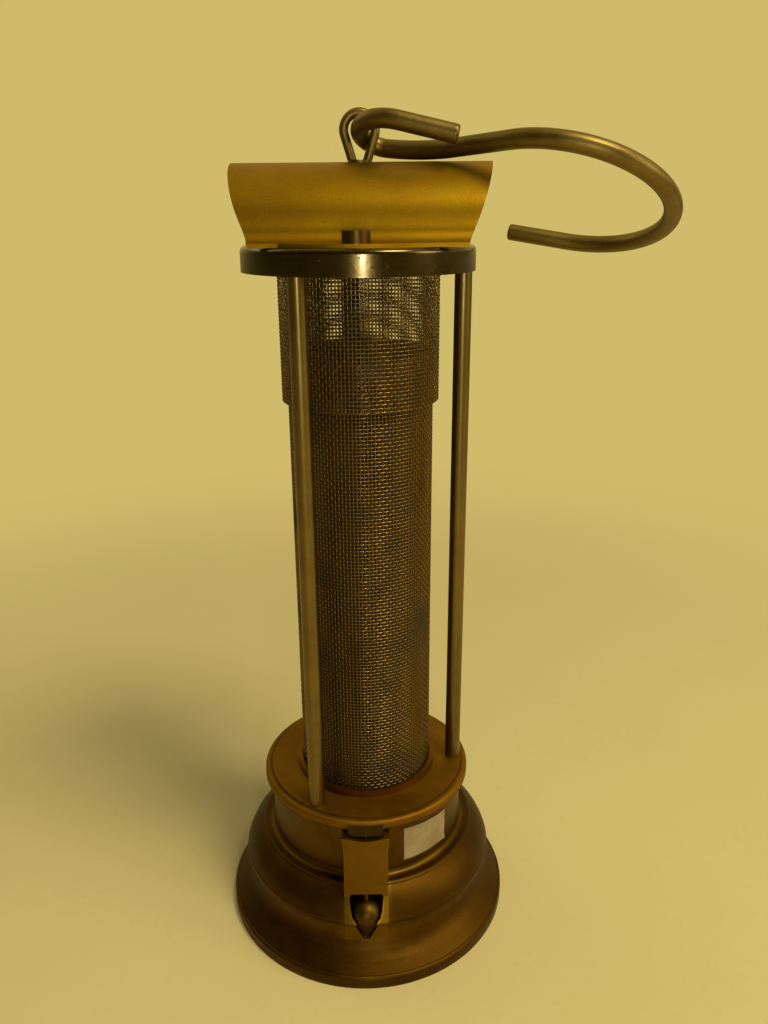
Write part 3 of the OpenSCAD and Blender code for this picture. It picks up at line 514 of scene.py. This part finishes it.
def wickFinish(charFrom, charTo):
    look = {"cotton": (0.52, 0.44, 0.30, 1), "shade": (0.34, 0.26, 0.16, 1),
            "char": (0.022, 0.017, 0.012, 1), "charScale": 600, "charEdge": 3 * mm,
            "fibreScale": 5200, "fibreStretch": (1, 1, 0.25), "fibreRange": (0.35, 0.7),
            "rough": 0.85, "roughSpread": 0.15, "bumpDepth": 0.15 * mm}
    material, place = newMaterial("cottonWick")
    fibres = noise(stretched(place, look["fibreStretch"]), look["fibreScale"], detail=3)
    patches = noise(place, look["charScale"])
    burnt = between(heightOf(place) + swing(patches, look["charEdge"]), charFrom, charTo)
    colour = mixed(between(fibres, *look["fibreRange"]), look["shade"], look["cotton"])
    return finishMaterial(material, place, {
        "Base Color": mixed(burnt, colour, look["char"]),
        "Roughness": look["rough"] + swing(fibres, look["roughSpread"]),
    }, fibres, look["bumpDepth"])


wickLow, wickHigh, wickRadius = boxOf("wick")
strandRadius = wickRadius / (1 + 1 / math.sin(math.pi / wickPiece["strands"]))
strandCircle = wickRadius - strandRadius
yarnSides = evenTurns(wickPiece["sides"])
wickCentre = (wickLow + wickHigh) / 2
wickWires = []
for strand in range(wickPiece["strands"] + 1):
    onCore = strand == wickPiece["strands"]
    top = wickHigh.z - wickPiece["fray"] * (strand * wickPiece["fraySpread"] % 1)
    heights = np.linspace(wickLow.z, top, wickPiece["steps"])
    share = (heights - wickLow.z) / (wickHigh.z - wickLow.z)
    turn = 2 * math.pi * (wickPiece["turns"] * share + strand / wickPiece["strands"])
    circle = 0 if onCore else strandCircle
    tip = np.clip((share - wickPiece["taperFrom"]) / (1 - wickPiece["taperFrom"]), 0, 1)
    thick = (strandCircle if onCore else strandRadius) * (1 - wickPiece["taper"] * tip)
    across = wickCentre.x + circle * np.cos(turn)
    deep = wickCentre.y + circle * np.sin(turn)
    rings = np.stack([across[:, None] + thick[:, None] * np.cos(yarnSides)[None],
                      deep[:, None] + thick[:, None] * np.sin(yarnSides)[None],
                      np.broadcast_to(heights[:, None], (len(heights), len(yarnSides)))], 2)
    wickWires.append((rings, False))
cotton = wickFinish(wickHigh.z - wickPiece["charFrom"], wickHigh.z - wickPiece["charTo"])
wick = wireMesh("wickYarns", wickWires, cotton)
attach(wick, "vessel")
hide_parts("wick")
print("wick:", len(wick.data.polygons), "faces")


# leather washer with rounded edges
washerPiece = {"segments": 160, "rounding": 0.35, "corner": 5}


def leatherFinish():
    look = {"hide": (0.105, 0.060, 0.030, 1), "dark": (0.035, 0.020, 0.011, 1),
            "creaseScale": 500, "creaseRange": (0.35, 0.65), "poreScale": 1500, "poreShare": 0.6,
            "rough": 0.62, "roughSpread": 0.3, "bumpDepth": 0.12 * mm}
    material, place = newMaterial("oiledLeather")
    pores = cells(place, look["poreScale"])
    creases = noise(place, look["creaseScale"], detail=5, rough=0.6)
    return finishMaterial(material, place, {
        "Base Color": mixed(between(creases, *look["creaseRange"]), look["dark"], look["hide"]),
        "Roughness": look["rough"] - swing(creases, look["roughSpread"]),
    }, pores * look["poreShare"] + creases, look["bumpDepth"])


washerLow, washerHigh, washerOuter = boxOf("seal_washer")
washerInner = min(vertex.co.to_2d().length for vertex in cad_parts["seal_washer"].data.vertices)
fillet = washerPiece["rounding"] * (washerHigh.z - washerLow.z)
bend = np.linspace(0, math.pi / 2, washerPiece["corner"])
# centres of the rounded corners, in turn from the outer bottom one, with the angle where each begins
washerCorners = [
    (washerOuter - fillet, washerLow.z + fillet, -math.pi / 2),
    (washerOuter - fillet, washerHigh.z - fillet, 0),
    (washerInner + fillet, washerHigh.z - fillet, math.pi / 2),
    (washerInner + fillet, washerLow.z + fillet, math.pi),
]
washerOutline = np.concatenate([
    np.stack([centre + fillet * np.cos(begin + bend), level + fillet * np.sin(begin + bend)], 1)
    for centre, level, begin in washerCorners])
washerRings = revolved(washerOutline, evenTurns(washerPiece["segments"]))
washer = wireMesh("leatherWasher", [(washerRings, True)], leatherFinish())
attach(washer, "washer")
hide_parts("seal_washer")
print("leather washer:", len(washer.data.polygons), "faces")


# blank paper label stuck on the neck
label = {
    "from": math.radians(-68.2), "to": math.radians(-37.4),     # turn round the neck
    "bottom": 32.6 * mm, "topLeft": 44.4 * mm, "topRight": 43.4 * mm,
    "paper": 0.14 * mm, "gap": 0.02 * mm, "columns": 40, "rows": 24,
    "lift": 0.35 * mm, "curlWide": 0.14, "curlTall": 0.16, "curlBend": 1.5,     # loose lower right corner
    "wave": 0.05 * mm, "wavesAcross": 9.0, "wavesUp": 4.0,
    "neckBand": 0.5 * mm,       # height below the vessel's top where the neck is measured
}


def paperFinish():
    look = {"paper": (0.38, 0.295, 0.11, 1), "aged": (0.29, 0.20, 0.065, 1),
            "grimeAndPaintedShade": (0.17, 0.11, 0.035, 1), "stainScale": 130, "stainRange": (0.42, 0.70),
            "fibreScale": 2600, "fibreRange": (0.52, 0.78), "fibreCover": 0.35,
            "creaseScale": 260, "creaseStretch": (1, 1, 0.4),
            "rimReach": 0.6 * mm, "rimRange": (0.45, 1.0), "rimCover": 0.5,
            "rough": 0.78, "roughSpread": 0.2, "fibreBump": 0.35, "bumpDepth": 0.12 * mm}
    material, place = newMaterial("paperLabel")
    fibres = noise(place, look["fibreScale"], detail=4, rough=0.65)
    stain = noise(place, look["stainScale"], detail=4, rough=0.6)
    creases = noise(stretched(place, look["creaseStretch"]), look["creaseScale"], detail=2, rough=0.4)
    rim = hollowness(place, look["rimReach"], True)
    colour = mixed(between(stain, *look["stainRange"]), look["paper"], look["aged"])
    colour = mixed(between(fibres, *look["fibreRange"]) * look["fibreCover"], colour, look["aged"])
    soiled = between(rim + swing(stain, 1.0), *look["rimRange"])
    return finishMaterial(material, place, {
        "Base Color": mixed(soiled * look["rimCover"], colour, look["grimeAndPaintedShade"]),
        "Roughness": look["rough"] + swing(fibres, look["roughSpread"]),
    }, fibres * look["fibreBump"] + creases, look["bumpDepth"])


def paperLabel(neckRadius):
    columns, rows = label["columns"], label["rows"]
    across = np.linspace(0, 1, columns)[None, :]
    up = np.linspace(0, 1, rows)[:, None]
    turn = label["from"] + (label["to"] - label["from"]) * across
    top = label["topLeft"] + (label["topRight"] - label["topLeft"]) * across
    height = label["bottom"] + (top - label["bottom"]) * up
    curlAcross = np.clip(across - 1 + label["curlWide"], 0, 1) / label["curlWide"]
    curlUp = np.clip(label["curlTall"] - up, 0, 1) / label["curlTall"]
    curl = label["lift"] * (curlAcross * curlUp) ** label["curlBend"]
    wave = label["wave"] * np.sin(across * label["wavesAcross"] + up * label["wavesUp"]) ** 2
    back = neckRadius + label["gap"] + curl + wave
    sheets = []
    for reach in (back, back + label["paper"]):
        level = height * np.ones_like(reach)
        sheets.append(np.stack([reach * np.cos(turn), reach * np.sin(turn), level], 2))
    points = np.concatenate([sheet.reshape(-1, 3) for sheet in sheets]).tolist()
    front = rows * columns
    grid = np.arange(front).reshape(rows, columns)
    quads = []
    for row in range(rows - 1):
        for column in range(columns - 1):
            spot = [grid[row, column], grid[row, column + 1],
                    grid[row + 1, column + 1], grid[row + 1, column]]
            quads.append([corner + front for corner in spot])
            quads.append(spot[::-1])
    border = list(grid[0, :]) + list(grid[1:, -1]) + list(grid[-1, -2::-1]) + list(grid[-2:0:-1, 0])
    for this, after in zip(border, border[1:] + border[:1]):
        quads.append([this, after, after + front, this + front])
    faces = [[int(corner) for corner in quad] for quad in quads]
    return meshObject("paperLabel", points, faces, paperFinish())


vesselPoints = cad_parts["oil_vessel"].data.vertices
neckRadius = max(vertex.co.to_2d().length for vertex in vesselPoints
                 if vertex.co.z > vesselTop - label["neckBand"])
sticker = paperLabel(neckRadius)
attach(sticker, "vessel")
print("paper label on the neck at radius", round(neckRadius / mm, 2), "mm")


# stage: floor, lamps, room and camera, places and sizes in metres
room = {
    "pale": (0.63, 0.495, 0.150, 1), "dim": (0.055, 0.043, 0.020, 1),
    "fill": (0.80, 0.75, 0.62, 1), "fillStrength": 0.28,
    # where reflections turn from dim to pale: share of each direction, and the range
    "across": 0.35, "depth": 0.65, "height": 0.45, "turnRange": (-0.45, 0.8),
}
floorLook = {
    "near": (0.72, 0.58, 0.20, 1), "fleck": (0.40, 0.29, 0.09, 1), "rough": 0.7, "bumpDepth": 0.1 * mm,
    "fleckScale": 220, "fleckRange": (0.55, 0.8), "fleckCover": 0.10,
    "cloudScale": 9, "cloudRange": (0.35, 0.7), "cloudCover": 0.06,
    "fadeFrom": 0.16, "fadeTo": 0.55, "radius": 6.0, "segments": 96,
}


def floorFinish():
    # paper near the lamp, which fades into the room's pale colour further out
    material, place = newMaterial("studioPaper")
    flecks = noise(place, floorLook["fleckScale"], detail=4, rough=0.6)
    cloud = noise(place, floorLook["cloudScale"], detail=3)
    tone = between(flecks, *floorLook["fleckRange"]) * floorLook["fleckCover"]
    tone = tone + between(cloud, *floorLook["cloudRange"]) * floorLook["cloudCover"]
    colour = mixed(tone, floorLook["near"], floorLook["fleck"])
    bumps = place.add("ShaderNodeBump", {}, {"Distance": floorLook["bumpDepth"], "Height": flecks})
    paper = place.add("ShaderNodeBsdfPrincipled", {},
                      {"Base Color": colour, "Roughness": floorLook["rough"], "Normal": bumps})
    glow = place.add("ShaderNodeEmission", {}, {"Color": room["pale"], "Strength": 1.0})
    direct = place.add("ShaderNodeLightPath", out="Is Camera Ray")
    through = sibling(direct, "Is Transmission Ray")
    far = between(radiusOf(place), floorLook["fadeFrom"], floorLook["fadeTo"])
    shown = place.add("ShaderNodeMixShader", {}, {0: far * (direct + through), 1: paper, 2: glow})
    place.add("ShaderNodeOutputMaterial", {}, {"Surface": shown})
    return material


def studioFloor():
    turn = evenTurns(floorLook["segments"])
    edge = np.stack([np.cos(turn), np.sin(turn), 0 * turn], 1) * floorLook["radius"]
    thing = meshObject("studioFloor", edge.tolist(), [list(range(len(edge)))], floorFinish())


studioFloor()

lamps = {
    "ceiling": {"place": (0.46, -0.42, 1.08), "size": 0.40, "watts": 8.0, "colour": (1.0, 0.94, 0.80)},
    "front": {"place": (0.055, -0.66, 0.20), "size": 0.05, "watts": 0.8, "colour": (1.0, 0.97, 0.92)},
    "side": {"place": (0.95, -0.35, 0.50), "size": 0.50, "watts": 3.0, "colour": (1.0, 0.93, 0.78)},
    "back": {"place": (-0.70, 0.40, 0.75), "size": 0.60, "watts": 0.7, "colour": (1.0, 0.95, 0.84)},
}
aim = Vector((0, 0, (cadLow.z + cadHigh.z) / 2))
for name, setting in lamps.items():
    light = bpy.data.lights.new(name + "Lamp", "AREA")
    light.shape = "DISK"
    light.size = setting["size"]
    light.energy = setting["watts"]
    light.color = setting["colour"]
    thing = newObject(name + "Lamp", light)
    thing.location = setting["place"]
    thing.visible_camera = False
    thing.rotation_mode = "QUATERNION"
    thing.rotation_quaternion = (aim - Vector(setting["place"])).to_track_quat("-Z", "Y")


def roomLight():
    # pale to the camera, dimmer towards the viewer's side in reflections, even light on the object
    world = bpy.data.worlds.new("room")
    world.use_nodes = True
    world.node_tree.nodes.clear()
    way = Sock(world.node_tree).add("ShaderNodeTexCoord", out="Generated")
    across, depth, height = axesOf(way)
    direct = way.add("ShaderNodeLightPath", out="Is Camera Ray")
    glossy = sibling(direct, "Is Glossy Ray")
    through = sibling(direct, "Is Transmission Ray")
    towards = depth * room["depth"] + height * room["height"] + across * room["across"]
    mirrored = mixed(between(towards, *room["turnRange"]), room["dim"], room["pale"])
    seen = mixed(glossy, room["pale"], mirrored)
    even = way.add("ShaderNodeBackground", {}, {"Color": room["fill"], "Strength": room["fillStrength"]})
    shown = way.add("ShaderNodeBackground", {}, {"Color": seen, "Strength": 1.0})
    blend = way.add("ShaderNodeMixShader", {}, {0: direct + glossy + through, 1: even, 2: shown})
    way.add("ShaderNodeOutputWorld", {}, {"Surface": blend})
    bpy.context.scene.world = world


roomLight()

# camera of the photo, angles in radians and the lens in millimetres
view = {"place": (4.33 * mm, -236.60 * mm, 219.56 * mm), "pitch": 0.338, "yaw": 0.009, "roll": -0.007,
        "lens": 29.378, "nearest": 0.01}
camera = newObject("photoCamera", bpy.data.cameras.new("photoCamera"))
camera.data.lens = view["lens"]
camera.data.clip_start = view["nearest"]
camera.matrix_world = (Matrix.Translation(view["place"]) @ Matrix.Rotation(-view["yaw"], 4, "Z")
                       @ Matrix.Rotation(math.pi / 2 - view["pitch"], 4, "X")
                       @ Matrix.Rotation(view["roll"], 4, "Z"))
bpy.context.scene.camera = camera
bpy.context.scene.view_settings.view_transform = "Standard"
print("stage, lamps and camera ready")

bpy.context.view_layer.update()
